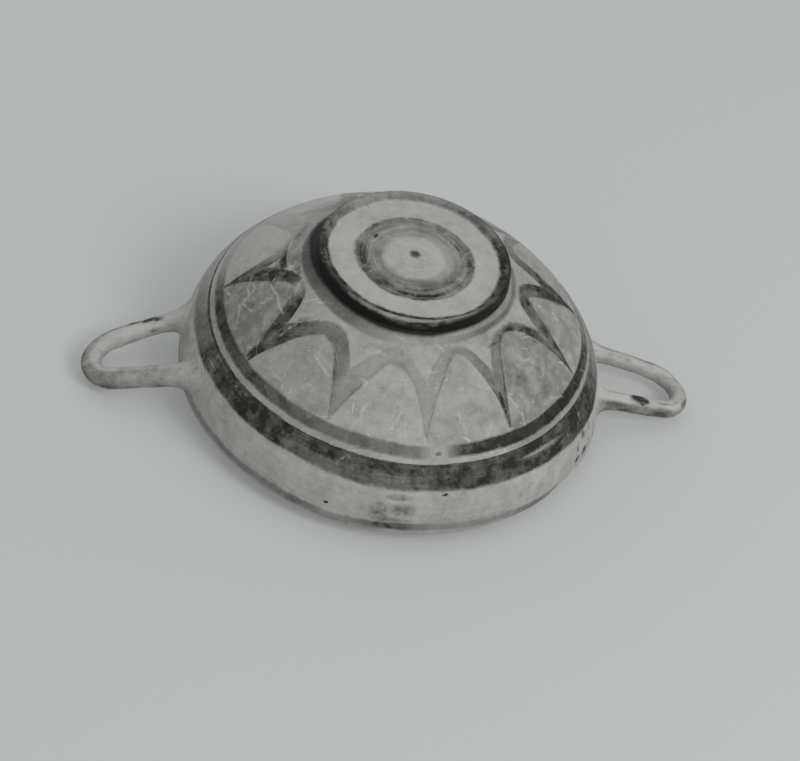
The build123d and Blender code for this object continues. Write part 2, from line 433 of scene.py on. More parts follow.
# Painted shade over a dull wash: the bare clay is pulled towards the dull tone in clouds, as far as the
# shade values ask.
clay = (place.noted("shade") * place.cloud(11, 3).ease(0.3, 0.6)).blend(clay, dull_tone_and_shade)
clay = (place.cloud(7, 5, 0.68).ease(0.52, 0.72) * 0.35).blend(clay, dull_tone_and_shade)
drips = place.stretched(run, 5.5, 12).cloud(1, 2, 0.5)
clay = (drips.ease(0.48, 0.70) * 0.15).blend(clay, drip_tone)
clay = ((1 - drips.ease(0.30, 0.48)) * 0.18).blend(clay, pale_scratch)
clay = (lines * 0.3).blend(clay, pale_scratch)
colour = (cover * (1 - lines * 0.14)).blend(clay, slip)
height = place.cloud(0.9, 3, 0.6) * 0.35 + place.cloud(5, 2) * 0.5 - lines * 0.2 + cover * 0.12
close_finish(place, body, colour, cover, height)
body.data.materials.append(body_clay)
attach(body, "box")
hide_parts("body")


# Foot ring: a low ring of the same clay, rolled, stuck under the flat middle of the bowl and trimmed at
# the wheel. Its standing face is rubbed smooth.
ring_width, foot_columns, overlap = 8.0, 300, 0.15
rubbed_tone = (0.24, 0.236, 0.22, 1)
foot_path = np.concatenate([
    corner(foot_radius - ring_width / 2, foot_height + overlap, 0.3, 1.0),
    corner(foot_radius - ring_width, foot_height + overlap, 0.3, 0.6),
    corner(foot_radius - ring_width + 0.3, 0, 0.8, 0.4),
    corner(foot_radius - 0.4, 0, 0.8, 0.4),
    corner(foot_radius + 0.1, foot_height + overlap, 0.3, 0.6),
    corner(foot_radius - ring_width / 2, foot_height + overlap, 0.3, 1.0),
])
foot_section = thrown_section(foot_path)[0]
foot = spun("clay_foot_ring", foot_section[:-1], foot_columns, closed=True)[0]
plain_clay, place = open_finish("plain_clay")
clay = fired_clay(place)
rubbed = (1 - place.axis("Z").ease(0.1, 0.9)) * place.cloud(5, 3).ease(0.4, 0.6)
clay = (rubbed * 0.5).blend(clay, rubbed_tone)
turning = place.stretched(place.axis("Z"), 40, 0.6).cloud(1, 2)
close_finish(place, foot, clay, rubbed * 0.6, place.cloud(0.9, 3, 0.6) * 0.4 + turning * 0.5)
foot.data.materials.append(plain_clay)
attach(foot, "box")
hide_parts("foot_ring")


# Handles: two coils of clay rolled by hand, bent to a loop and luted to the wall, with the joint wiped to
# a smooth fillet. They droop from the wall to the tip, each in its own way, as hand work does; the near
# arm of each is fuller than the far one, and worn dabs of slip are left on both.
near_fillet, far_fillet, fillet_lean = (9.0, 5.6), (13.0, 6.2), 2.0
root_depth, pole_depth, root_share = 0.8, 3, 0.02
search_start, search_end, halvings = -9.0, 14.0, 40
oval_wide, oval_high, flattening = 1.02, 0.96, 0.075
coil_half, coil_sides, coil_rows, root_count = 3.9, 56, 150, 12
shoulder_turn, shoulder_length = math.radians(140), 11
left_loop = dict(side=-1, reach=130.7, droop=18.0, splay=9.4, tip=12.25, height=18.2, yaw=-0.4)
left_loop.update(near=4.45, far=3.45, shoulder=1.3)
right_loop = dict(side=1, reach=134.2, droop=12.8, splay=5.1, tip=12.06, height=15.5, yaw=-0.24)
right_loop.update(near=3.8, far=3.15, shoulder=1.6)
handle_pale, handle_dull = (0.430, 0.424, 0.402, 1), (0.280, 0.276, 0.258, 1)
mottle_tone, wiped_tone = (0.185, 0.182, 0.169, 1), (0.470, 0.464, 0.442, 1)
face_shade_tone = (0.105, 0.103, 0.094, 1)


def loop_sizes(loop):
    """Where a loop's plane leaves the wall, how far out the centre of its tip is, and the lengths of an arm
    and of the whole coil along the middle line."""
    droop, splay = math.radians(loop["droop"]), math.radians(loop["splay"])
    start = belly_centre[0] + math.sqrt(belly_curve**2 - (loop["height"] - belly_height) ** 2)
    middle = (loop["reach"] - coil_half - start) / math.cos(droop) - loop["tip"]
    arm = (middle + loop["tip"] * math.sin(splay)) / math.cos(splay)
    return start, middle, arm, 2 * arm + loop["tip"] * (math.pi - 2 * splay)


def coil_surface(loop, along, angle):
    """Point of a coil, in mm, at a distance along its middle line and an angle round it. The middle line is
    an arm straight out, a circle round the tip and an arm straight back, in a plane that droops from the
    wall, and a bell along the line presses the far shoulder of the tip inwards. The section is an oval with
    slightly flattened sides whose size goes from the near arm's to the far arm's."""
    droop, splay, yaw = (math.radians(loop[key]) for key in ("droop", "splay", "yaw"))
    start, middle, arm, whole = loop_sizes(loop)
    turned = np.clip(along - arm, 0, whole - 2 * arm)
    beyond = along - arm - turned
    bend = splay - math.pi / 2 + turned / loop["tip"]
    half = loop["near"] + (loop["far"] - loop["near"]) * along / whole
    half = half + 0.09 * np.sin(along * 0.31 + loop["side"])
    half = half + 0.06 * np.sin(along * 0.73 + 2 * loop["side"])
    flat = 1 + flattening * np.sin(2 * angle) ** 2
    shoulder_at = arm + loop["tip"] * (shoulder_turn - splay)
    shoulder = loop["shoulder"] * np.exp(-(((along - shoulder_at) / shoulder_length) ** 2))
    across = loop["tip"] - shoulder + half * oval_wide * flat * np.cos(angle)
    above = half * oval_high * flat * np.sin(angle)
    x = middle + across * np.cos(bend) - beyond * np.sin(bend)
    y = across * np.sin(bend) + beyond * np.cos(bend)
    out = start + x * math.cos(droop) + above * math.sin(droop)
    z = loop["height"] - x * math.sin(droop) + above * math.cos(droop)
    x = loop["side"] * (out * math.cos(yaw) - y * math.sin(yaw))
    return np.stack([x, out * math.sin(yaw) + y * math.cos(yaw), z], -1)


def wall_radius(turn, z):
    """Radius of the outside of the body's wall, with its run-out, at a turn in radians and a height."""
    r = belly_centre[0] + np.sqrt(belly_curve**2 - (z - belly_height) ** 2)
    return r + run_out(turn, r, z)


def root_rows(loop, angle, far_end):
    """Root of an arm: each line along the coil is followed to the point where it meets the wall, by halving,
    and a parabola with that point as its corner leads from the coil to the wall. The edge is then sunk a
    little into the wall and closed inside it. Gives the rows from the wall outwards, the distance along at
    which each line of the coil starts, and the point that closes the root."""
    whole = loop_sizes(loop)[3]
    low, high = np.full(angle.shape, search_start), np.full(angle.shape, search_end)
    for _ in range(halvings):
        half_way = (low + high) / 2
        x, y, z = coil_surface(loop, whole - half_way if far_end else half_way, angle).T
        buried = np.hypot(x, y) < wall_radius(np.arctan2(y, x), z)
        low, high = np.where(buried, half_way, low), np.where(buried, high, half_way)
    fillet_out, fillet_wide = far_fillet if far_end else near_fillet
    fillet_wide = fillet_wide + fillet_lean * np.cos(angle)[:, None]
    start = high + fillet_out
    meeting = coil_surface(loop, whole - high if far_end else high, angle)
    leaving = coil_surface(loop, whole - start if far_end else start, angle)
    centre = meeting.mean(0)
    turn = np.arctan2(centre[1], centre[0])
    lean = np.arcsin((centre[2] - belly_height) / belly_curve)
    square = np.array([math.cos(turn) * math.cos(lean), math.sin(turn) * math.cos(lean), math.sin(lean)])
    away = meeting - centre
    away = away - (away @ square)[:, None] * square
    spread = meeting + fillet_wide * away / np.linalg.norm(away, axis=1, keepdims=True)
    spread_turn = np.arctan2(spread[:, 1], spread[:, 0])
    r = wall_radius(spread_turn, spread[:, 2])
    on_wall = np.stack([r * np.cos(spread_turn), r * np.sin(spread_turn), spread[:, 2]], 1)
    u = np.linspace(1, 0, root_count)[:, None, None]
    curve = (1 - u) ** 2 * leaving + 2 * u * (1 - u) * meeting + u**2 * on_wall
    sunk = on_wall - square * root_depth
    return np.concatenate([sunk[None], curve]), start, centre - square * pole_depth


def clay_coil(name, loop):
    """Surface of a handle: the near root, the coil between the two roots, and the far root the other way
    round, closed at both ends inside the wall. Gives the object, and the share of the length and the angle
    in degrees of each vertex."""
    angle = np.linspace(0, 2 * np.pi, coil_sides, endpoint=False)
    whole = loop_sizes(loop)[3]
    near_root, near_start, near_pole = root_rows(loop, angle, False)
    far_root, far_start, far_pole = root_rows(loop, angle, True)
    share = np.linspace(0, 1, coil_rows)[1:-1, None]
    along = near_start * (1 - share) + (whole - far_start) * share
    coil = coil_surface(loop, along, np.broadcast_to(angle, along.shape))
    rows = np.concatenate([near_root, coil, far_root[::-1]])
    count = rows.shape[0] * rows.shape[1]
    ring = np.arange(count).reshape(rows.shape[:2])
    after = np.roll(ring, -1, 1)
    faces = np.stack([ring[:-1], after[:-1], after[1:], ring[1:]], 2).reshape(-1, 4)
    near_cap = np.stack([np.full(coil_sides, count), after[0], ring[0]], 1)
    far_cap = np.stack([ring[-1], after[-1], np.full(coil_sides, count + 1)], 1)
    points = np.concatenate([rows.reshape(-1, 3), near_pole[None], far_pole[None]])
    obj = clay_piece(name, points, [part[:, ::-loop["side"]] for part in (faces, near_cap, far_cap)])
    near_share = np.linspace(0 * angle - root_share, near_start / whole, len(near_root))
    far_share = np.linspace(1 - far_start / whole, 0 * angle + 1 + root_share, len(far_root))
    distance = np.concatenate([near_share, along / whole, far_share]).reshape(-1)
    round_coil = np.broadcast_to(np.degrees(angle), rows.shape[:2]).reshape(-1)
    return obj, np.r_[distance, -root_share, 1 + root_share], np.r_[round_coil, 0, 0]


def dabs(share, angle, *marks):
    """Dabs of slip on a coil: bells at a share of its length and an angle round it, each with a length as a
    share, a width in degrees and a depth; the deepest one counts."""
    depth = np.zeros_like(share)
    for at, turned, length, width, dark in marks:
        apart = ((share - at) / length) ** 2 + (signed(angle - turned) / width) ** 2
        depth = np.maximum(depth, dark * np.exp(-apart))
    return depth


def outer_side(angle, middle, wide):
    """1 on one side of a coil and 0 on the other, with a soft edge some degrees from the middle."""
    return 0.5 - 0.5 * np.tanh((np.abs(signed(angle - middle)) - wide) / 9)


def handle_finish(name, obj, face_shading):
    """Finish of a handle: mottled clay, painted light and painted shade on its faces, slip where dabs
    outweigh noise.
    """
    material, place = open_finish(name)
    wear = (place.cloud(3.6, 5, 0.7, 0.6) - 0.5) * 2.6
    cover = (place.noted("dab") * (1 + wear * 0.7)).ease(0.15, 1.2) * 0.95
    clay = fired_clay(place, handle_pale, handle_dull)
    mottle = place.cloud(7, 3, 0.6).ease(0.40, 0.65) * 0.25
    mottle = mottle + place.drawn_out(13, 1.8).cloud(1, 3, 0.6).ease(0.48, 0.68) * 0.35
    # Painted light: the clay is made paler on faces of the coils that lie in shade.
    clay = place.noted("wiped").blend(mottle.blend(clay, mottle_tone), wiped_tone)
    # Painted shade: the outer, lower face of the coil is darkened where it is turned from the light.
    face_shade = place.noted("outer_face") * face_shading * (0.7 + place.cloud(5, 4, 0.65).ease(0.35, 0.65) * 0.6)
    clay = face_shade.blend(clay, face_shade_tone)
    lines = scratches(place)
    clay = (lines * 0.3).blend(clay, pale_scratch)
    height = place.cloud(0.9, 3, 0.6) * 0.35 + place.cloud(4, 2) * 0.6 - lines * 0.2
    close_finish(place, obj, cover.blend(clay, slip), cover, height)
    obj.data.materials.append(material)
    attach(obj, "box")


left_handle, share, angle = clay_coil("clay_handle_left", left_loop)
note(
    left_handle,
    # outer_face: where painted shade darkens the coil's outer, lower face.
    outer_face=np.interp(
        share, (-0.02, 0.05, 0.12, 0.44, 0.58, 0.7), (0.1, 0.45, 0.8, 1, 0.6, 0.1),
    ) * outer_side(angle, 0, 95),
    dab=dabs(
        share, angle, (0.86, 72, 0.045, 28, 1.35), (0.8, 60, 0.05, 20, 1.15), (0.895, 90, 0.016, 26, 1.2),
        (0.68, 54, 0.12, 16, 0.9), (0.87, 168, 0.03, 26, 0.7), (0.77, 196, 0.05, 20, 0.6),
        (0.53, 34, 0.05, 40, 0.9), (0.46, 6, 0.07, 40, 0.9), (0.34, 350, 0.1, 30, 0.6),
        (0.36, 70, 0.04, 40, 0.45), (0.1, 340, 0.05, 26, 0.55), (0.02, 320, 0.05, 40, 0.5),
        (0.12, 110, 0.03, 18, 0.5), (0.24, 330, 0.08, 22, 0.55), (0.88, 120, 0.02, 20, 0.5),
    ),
    # Painted light along the far arm, which lies in shade.
    wiped=np.interp(share, (0.55, 0.66, 0.92, 1.02), (0, 0.42, 0.42, 0.2)),
)
handle_finish("handle_clay", left_handle, 0.58)
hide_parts("handle_left")
right_handle, share, angle = clay_coil("clay_handle_right", right_loop)
note(
    right_handle,
    # outer_face: where painted shade darkens the coil's outer, lower face.
    outer_face=np.interp(
        share, (0, 0.05, 0.14, 0.3, 0.44, 0.55), (0.1, 0.75, 1, 1, 0.5, 0.1),
    ) * outer_side(angle, 345, 58),
    dab=dabs(
        share, angle, (0.185, 102, 0.036, 40, 1.9), (0.222, 84, 0.022, 28, 1.3), (0.2, 58, 0.02, 20, 0.9),
        (0.1, 128, 0.07, 12, 0.9), (0.3, 2, 0.06, 42, 0.85), (0.35, 84, 0.1, 14, 0.6),
        (0.43, 48, 0.04, 28, 0.9), (0.48, 60, 0.06, 24, 0.55), (0.07, 30, 0.06, 22, 0.8),
        (0.13, 350, 0.06, 24, 0.7), (0.72, 64, 0.2, 28, 0.66), (0.9, 68, 0.07, 26, 0.6),
        (0.56, 80, 0.04, 18, 0.5), (0.82, 122, 0.03, 18, 0.5), (0.62, 130, 0.05, 14, 0.45),
    ),
    # Painted light by the near root, on its upper face.
    wiped=np.interp(share, (-0.02, 0.02, 0.15, 0.19), (0.3, 0.42, 0.42, 0)) * outer_side(angle, 105, 62),
)
handle_finish("handle_clay_right", right_handle, 0.78)
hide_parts("handle_right")


# Lid: a thrown dome with a plain rim that rests on the ledge of the body. Eleven arches were brushed round
# it with thinned slip above a thin dark band and a bare line, and the knob has a grey wash at its foot.
dome_curve, lid_wall, lid_ceiling, collar_rise, knob_radius = 95.4, 4.6, 6.2, 2.7, 40.5
lid_columns = 480
arch_drop, arch_rise, leg_foot, leg_bend = 14, 27.3, 16.5, 14
gap_width, gap_run, gap_reach = 0.07, 24, 9
seam_turn = math.radians(belly_seam)
seam_radius = belly_centre[0] + belly_curve * math.cos(seam_turn)
dome_height = seam_height - dome_curve * math.sin(seam_turn)
dome_centre = (seam_radius - dome_curve * math.cos(seam_turn), dome_height)
knob_foot = dome_centre[1] + math.sqrt(dome_curve**2 - (knob_radius - dome_centre[0]) ** 2)
knob_seat = knob_foot + collar_rise
ceiling_height = knob_seat - lid_ceiling
dome_inside = dome_curve - lid_wall
under_top = height_angle(dome_centre, dome_inside, ceiling_height)
under_low = height_angle(dome_centre, dome_inside, seam_height)
dome_top = height_angle(dome_centre, dome_curve, knob_foot)
lid_path = np.concatenate([
    corner(0, ceiling_height, 0.05, 3.0),
    corner(dome_centre[0] + dome_inside * math.cos(math.radians(under_top)) - 1, ceiling_height, 2.0, 1.5),
    arc(dome_centre, dome_inside, under_top, under_low, 1.3, 0.8)[1:],
    corner(seam_radius, seam_height, 0.4, 0.4),
    arc(dome_centre, dome_curve, belly_seam, dome_top, 0.55, 0.5)[1:-1],
    corner(knob_radius + 0.6, knob_foot, 2.2, 0.4),
    corner(knob_radius - 0.4, knob_seat, 0.3, 0.4),
    corner(0, knob_seat, 0.05, 4.0),
])
lid_section, lid_along, lid_marks = thrown_section(lid_path)
lid, lid_turn, lid_row = spun("clay_lid", lid_section, lid_columns)
lid_run = seam_run + lid_marks[seam_mark] - lid_along[lid_row]
lid_outside = ramp(lid_run, seam_run + 1, seam_run - 1) * ramp(lid_section[lid_row, 0], 30, 40)

arch_feet = np.array([-186, -153, -119, -88, -59, -24, 4, 38, 72, 106, 140, 174.0])
arch_top = np.array([5.5, 6.3, 5.0, 3.4, 4.5, 3.9, 5.0, 5.5, 6.2, 5.6, 6.0])
arch_inside = np.array([10.0, 13.3, 13.0, 7.4, 7.3, 9.5, 11.0, 12.0, 12.5, 12.0, 12.0])
arch_wash = np.array([0.60, 0.32, 0.06, 0.22, 0.52, 0.40, 0.40, 0.35, 0.3, 0.2, 0.04])
outer_bend = np.array([
    [2.2, 1.8, 1.85, 2.8, 3.4, 3.5, 2.2, 2.4, 2.0, 2.5, 2.2],
    [3.6, 3.0, 2.1, 2.8, 3.0, 3.1, 2.4, 2.2, 2.6, 2.1, 2.4],
])
inner_bend = np.array([
    [1.45, 1.9, 1.6, 1.5, 2.2, 1.7, 1.7, 2.0, 1.6, 1.9, 1.7],
    [2.0, 2.4, 3.3, 2.25, 2.5, 1.45, 2.6, 2.2, 3.0, 2.4, 2.8],
])
from_first = arch_feet[0] + (lid_turn - arch_feet[0]) % 360
arch = np.clip(np.searchsorted(arch_feet, from_first, side="right") - 1, 0, len(arch_top) - 1)
across = 2 * (from_first - arch_feet[arch]) / (arch_feet[arch + 1] - arch_feet[arch]) - 1
half_arch = (across > 0).astype(int)
across = np.abs(across)
inner_rise = arch_rise * across ** inner_bend[half_arch, arch]
leg_gap = np.exp(-(((1 - across) / gap_width) ** 2) - ((lid_run - gap_run) / gap_reach) ** 4)


def scored(degrees, run, *lines):
    """Long scratches: bells round broken lines, whose corners are places in degrees round the pot and mm
    down its wall, at about the scale of the middle of the dome; the nearest line counts."""
    mm_per_degree, half_width = 1.25, 0.72
    depth = np.zeros_like(run)
    for line in lines:
        for first, last in zip(line[:-1], line[1:]):
            x, y = signed(degrees - first[0]) * mm_per_degree, run - first[1]
            step = np.array([(last[0] - first[0]) * mm_per_degree, last[1] - first[1]])
            along = np.clip((x * step[0] + y * step[1]) / (step @ step), 0, 1)
            distance = np.hypot(x - along * step[0], y - along * step[1])
            depth = np.maximum(depth, np.exp(-((distance / half_width) ** 2)))
    return depth


note(
    lid,
    run=lid_run,
    score=scored(
        lid_turn, lid_run, ((-184, 27), (-179, 29.5), (-175.5, 29), (-172.5, 34.5), (-167, 38)),
        ((-181, 27), (-178, 26), (-176, 27.5)),
        ((-178, 16.5), (-175, 19), (-168, 17.5), (-163, 18.5), (-158, 19)),
        ((-202, 11), (-193.5, 11), (-181, 10.5)), ((-214, 10), (-211, 15), (-208, 23)),
        ((-173.5, 33), (-168, 30)), ((-170.5, 5.5), (-165.5, 10), (-163, 11)),
        ((-149, 13.5), (-150.5, 20), (-151, 25.5)), ((-134, 22), (-128, 24.5), (-125, 26)),
        ((-134.5, 20), (-129, 21)), ((-53.5, 38), (-54, 43)), ((-66, 38), (-68, 42)),
        ((-77, 31), (-75, 39)), ((-56, 30), (-54.5, 35)), ((-108, 29), (-110, 34), (-109, 39)),
        ((-97, 31), (-99, 37)), ((-40, 40), (-34, 44)), ((80, 20), (86, 31)),
    ),
    stroke_top=arch_top[arch] + arch_drop * across ** outer_bend[half_arch, arch],
    stroke_low=arch_inside[arch] + inner_rise + (leg_foot - arch_inside[arch]) * across ** leg_bend,
    wash=arch_wash[arch],
    stroke=round_pot(
        lid_turn, (-193, 0.4), (-188, 0.95), (-178, 1.2), (-172, 0.85), (-166, 0.45), (-161, 0.8),
        (-157, 1.3), (-152, 1.15), (-146, 0.82), (-141, 0.66), (-136, 0.64), (-124, 0.66), (-119, 0.36),
        (-112, 0.22), (-104, 0.22), (-95, 0.26), (-89, 0.28), (-80, 0.34), (-73, 0.32), (-66, 0.5),
        (-60, 0.86), (-55, 0.62), (-47, 0.52), (-40, 0.76), (-33, 0.86), (-25, 1), (-19, 0.9), (-10, 0.8),
        (-4, 1.05), (3, 1.25), (12, 0.95), (25, 0.5), (37, 0.55), (54, 0.5), (71, 0.6), (105, 0.45),
        (128, 0.22), (150, 0.18), (162, 0.22),
    ) * (1 - 0.28 * leg_gap),
    outline=round_pot(
        lid_turn, (-190, 0.05), (-122, 0.12), (-114, 0.26), (-104, 0.14), (-92, 0.14), (-86, 0.24),
        (-76, 0.22), (-70, 0.15), (-58, 0.26), (-40, 0.34), (-30, 0.2), (-10, 0.1), (90, 0.1),
    ),
    # On the lid the same darkening of the ground: partly thinned slip, partly painted shade.
    shade=round_pot(
        lid_turn, (-200, 0), (-186, 0.12), (-172, 0.22), (-150, 0.12), (-115, 0.14), (-100, 0),
        (-64, 0.08), (-52, 0.27), (-38, 0.24), (60, 0.2), (120, 0.1), (150, 0),
    ) * lid_outside,
    thin_band=round_pot(
        lid_turn, (-206, 0.15), (-195, 0.36), (-187, 0.74), (-178, 0.94), (-165, 0.98), (-152, 0.88),
        (-128, 0.73), (-112, 0.66), (-95, 0.62), (-90, 0.56), (-86.5, 0.12), (-85, 0), (-82.5, 0),
        (-80.5, 0.45), (-76, 0.95), (-60, 1.2), (-25, 1.15), (-14, 0.92), (-4, 0.7), (6, 0.42),
        (25, 0.36), (80, 0.5), (130, 0.3),
    ),
    drawn=round_pot(
        lid_turn, (-195, 1.15), (-180, 1.2), (-165, 0.65), (-150, 0.3), (-140, 0.5), (-125, 0.15),
        (-108, 0), (-98, -0.45), (-90, -0.9), (-79, -0.3), (-62, -0.45), (-50, -0.75), (-40, -0.3),
        (-20, -0.6), (-8, -0.9), (60, 0), (120, 0.6),
    ),
    # Painted light: the bare clay of the dome is made paler on the back left, and a little on the back
    # right, as if lit from behind.
    bleached=round_pot(
        lid_turn, (-246, 0.5), (-231, 0.42), (-217, 0.3), (-204, 0.18), (-192, 0.12), (-184, 0), (4, 0),
        (12, 0.06), (25, 0.14), (38, 0.26), (52, 0.05), (66, 0.05), (90, 0.3),
    ) * ramp(lid_run, 9, 21) * lid_outside,
    collar=round_pot(
        lid_turn, (-205, 0.6), (-190, 0.68), (-178, 0.66), (-160, 0.61), (-150, 0.58), (-140, 0.61),
        (-130, 0.54), (-118, 0.37), (-100, 0.05), (-85, 0.12), (-70, 0.28), (-50, 0.68), (-30, 0.6),
        (60, 0.55), (140, 0.6),
    ),
    collar_start=round_pot(
        lid_turn, (-120, -9), (-85, -3), (-70, -0.8), (-50, -0.4), (-30, 0.6), (0, 0.4), (60, -1),
        (120, -9),
    ),
    collar_end=round_pot(
        lid_turn, (-205, 4.7), (-190, 5), (-178, 4.6), (-160, 3.4), (-130, 3.4), (-118, 3.8), (-100, 3.4),
        (-85, 2.7), (-70, 2.2), (-50, 2), (-30, 2.6), (60, 2.6), (140, 4.5),
    ),
    # Black at the knob's foot: black slip, and on the left, where it reaches out onto the dome, painted
    # shadow of the knob.
    black_end=round_pot(
        lid_turn, (-215, 4), (-205, 3.8), (-195, 2.2), (-185, 0.9), (-178, 0.2), (-165, -1.2),
        (-150, -1.9), (-125, -1.6), (-112, -1.2), (-98, -1.2), (-85, -1.3), (-70, -2.4), (-55, -2.9),
        (-40, -3), (-20, -2.8), (60, -3.2), (120, 1),
    ),
    black=round_pot(lid_turn, (-215, 0.82), (-200, 0.86), (-182, 0.96), (-60, 1), (90, 0.9)),
    stain=blots(
        lid_turn, lid_run, (-182, 7, 12, 4.2, 0.56), (-187, 12.2, 11, 2.9, 0.95), (-180, 17, 6.5, 3.6, 1),
        (-173, 8.2, 3.4, 2.4, 0.9), (-158.5, 15.5, 3, 3.4, 0.9), (-205, 9, 12, 2.2, 0.55),
        (-148.5, 15.5, 2.6, 4.5, 0.7), (-184, 24, 3, 5, 0.9), (-155.5, 25, 1.8, 7, 0.85),
        (-169, 28, 5, 4.5, 0.42), (-178, 34, 4, 3, 0.4), (-20.5, 20, 3.4, 4.6, 0.8),
        (-27, 17, 2.6, 4, 0.8), (-48, 26.5, 5.2, 4.4, 0.5), (-41, 36, 6, 4, 0.42),
        (-31, 18.5, 3.5, 1.8, 0.5), (-59.4, 31, 1.3, 9, 0.9), (-52, 22, 2, 2, 0.45),
        (-38, 28, 3, 2.2, 0.4), (-59.3, 39, 0.8, 4, 0.9), (-154, 38, 1.2, 5, 0.9), (-89, 38, 0.5, 5, 0.4),
        (1.5, 24, 3, 8, 0.75), (-84.2, 46.4, 1.1, 1.1, 0.7), (-50, 8, 7, 1.3, 0.6),
        (-90, 27, 0.8, 7, 0.35), (-144, 11, 1.6, 2.2, 0.5), (-120, 34, 0.7, 7, 0.4), (95, 25, 4, 4, 0.4),
        (45, 30, 5, 4, 0.4),
    ),
    rub=blots(
        lid_turn, lid_run, (-166.5, 8.5, 4, 2.2, 0.8), (-185, 10, 8, 0.5, 0.7),
        (-84.2, 46.4, 0.45, 0.5, 1), (-57, 10.5, 3, 2.4, 0.45), (-22, 8, 4, 2, 0.4),
        (-32, 12.5, 2, 1.6, 0.6), (-25.5, 15.5, 6, 0.6, 0.5), (-151, 21, 0.7, 3, 0.6),
        (60, 14, 5, 3, 0.6), (110, 30, 5, 4, 0.5),
    ),
)

thin_top, thin_low = (41.8, 43.4), (47.0, 48.6)
seam_edge, rim_under = (50.0, 50.8), (52.0, 53.0)
lid_pale, lid_dull = (0.372, 0.367, 0.350, 1), (0.235, 0.231, 0.217, 1)
grey_wash_and_shade, mottled_tone = (0.115, 0.113, 0.103, 1), (0.170, 0.167, 0.155, 1)
bleached_tone, thick_slip_and_shadow = (0.62, 0.612, 0.585, 1), (0.0058, 0.0057, 0.0049, 1)
lid_clay, place = open_finish("painted_lid_clay")
run = place.noted("run")
wobble = (place.cloud(7, 2) - 0.5) * 2.2 + (place.cloud(1.8, 3) - 0.5) * 1.6
ragged = ragged_noise(place)
painted = run + wobble
top_edge, low_edge = painted - place.noted("stroke_top"), painted - place.noted("stroke_low")
outside_only = 1 - run.ease(*rim_under)
stroke_shape = top_edge.ease(-0.9, 0.9) * (1 - low_edge.ease(-1.0, 1.0))
outline = (1 - abs(low_edge + 1.5 + ragged * 0.8).ease(0.2, 2.4)) * place.cloud(6, 3).ease(0.35, 0.6)
brush = place.stretched(top_edge, 16, 1.1).cloud(1, 3, 0.6)
patchy = place.cloud(4.5, 4, 0.62).ease(0.36, 0.66)
stroke_depth = place.noted("stroke") * (1.06 - brush.ease(0.42, 0.7) * 0.22 - patchy * 0.26)
stroke_depth = stroke_depth + outline * place.noted("outline")
stroke_cover = slip_cover(place, stroke_shape, stroke_depth, 0.9)
drawn_run = run + place.noted("drawn")
band_run = drawn_run + wobble * 0.55
thin_shape = band_run.ease(*thin_top) * (1 - band_run.ease(*thin_low))
thin_cover = slip_cover(place, thin_shape, place.noted("thin_band"), 0.4)
seam_shape = (drawn_run + wobble * 0.5).ease(*seam_edge) * outside_only
near_knob = run + wobble * 0.3
collar_start, collar_end = place.noted("collar_start"), place.noted("collar_end")
black_end = place.noted("black_end")
collar_shape = 0.4 + near_knob.ease(collar_start - 0.5, collar_start + 0.5) * 0.6
collar_shape = collar_shape * (1 - near_knob.ease(collar_end - 0.9, collar_end + 0.9)) * outside_only
collar_cover = slip_cover(place, collar_shape, place.noted("collar"), 0.3)
black_foot = (1 - near_knob.ease(black_end - 1.2, black_end + 1.1)) * place.noted("black") * outside_only
cover = stroke_cover.most(thin_cover).most(collar_cover).most(slip_cover(place, seam_shape, 0.95))
rubbed = (place.noted("rub") * (0.7 + ragged * 1.2)).ease(0.1, 0.9) * 0.85
cover = cover.most(stained(place, 1.0)).least(1.0) * (1 - rubbed)
lines = scratches(place)
clay = fired_clay(place, lid_pale, lid_dull)
inside_arch = low_edge.ease(-0.5, 0.8) * (1 - painted.ease(42.0, 44.0))
wash = inside_arch * place.noted("wash") * (0.50 + place.cloud(6, 4, 0.6).ease(0.3, 0.65) * 0.85)
# The arch wash is thinned slip; the shade values add painted shade over it and on the pale line.
wash = wash.most(place.noted("shade") * place.cloud(11, 3).ease(0.25, 0.6))
pale_line = band_run.ease(46.5, 48.0) * (1 - band_run.ease(49.5, 51.0))
clay = wash.most(pale_line * place.noted("shade") * 1.8).blend(clay, grey_wash_and_shade)
clay = (place.cloud(6, 5, 0.68).ease(0.52, 0.70) * 0.4).blend(clay, mottled_tone)
# Painted light on the back of the dome.
clay = place.noted("bleached").blend(clay, bleached_tone)
smudge = place.cloud(4.5, 5, 0.7).ease(0.56, 0.72) * place.cloud(19, 2).ease(0.45, 0.6) * outside_only
clay = (smudge * 0.4).blend(clay, pale_scratch)
score = (place.noted("score") * (0.75 + ragged * 0.9)).ease(0.25, 0.8)
clay = (lines * outside_only * 0.6).most(score * 0.42).blend(clay, pale_scratch)
colour = (cover * (1 - (lines * 0.16).most(score * 0.5))).blend(clay, slip)
# Black slip at the knob's foot, widened on the left by painted shadow.
colour = (black_foot * 0.97).blend(colour, thick_slip_and_shadow)
height = place.cloud(0.9, 3, 0.6) * 0.35 + place.cloud(5, 2) * 0.5 - lines * 0.2 + cover * 0.12
close_finish(place, lid, colour, cover, height)
lid.data.materials.append(lid_clay)
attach(lid, "lid")
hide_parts("lid")


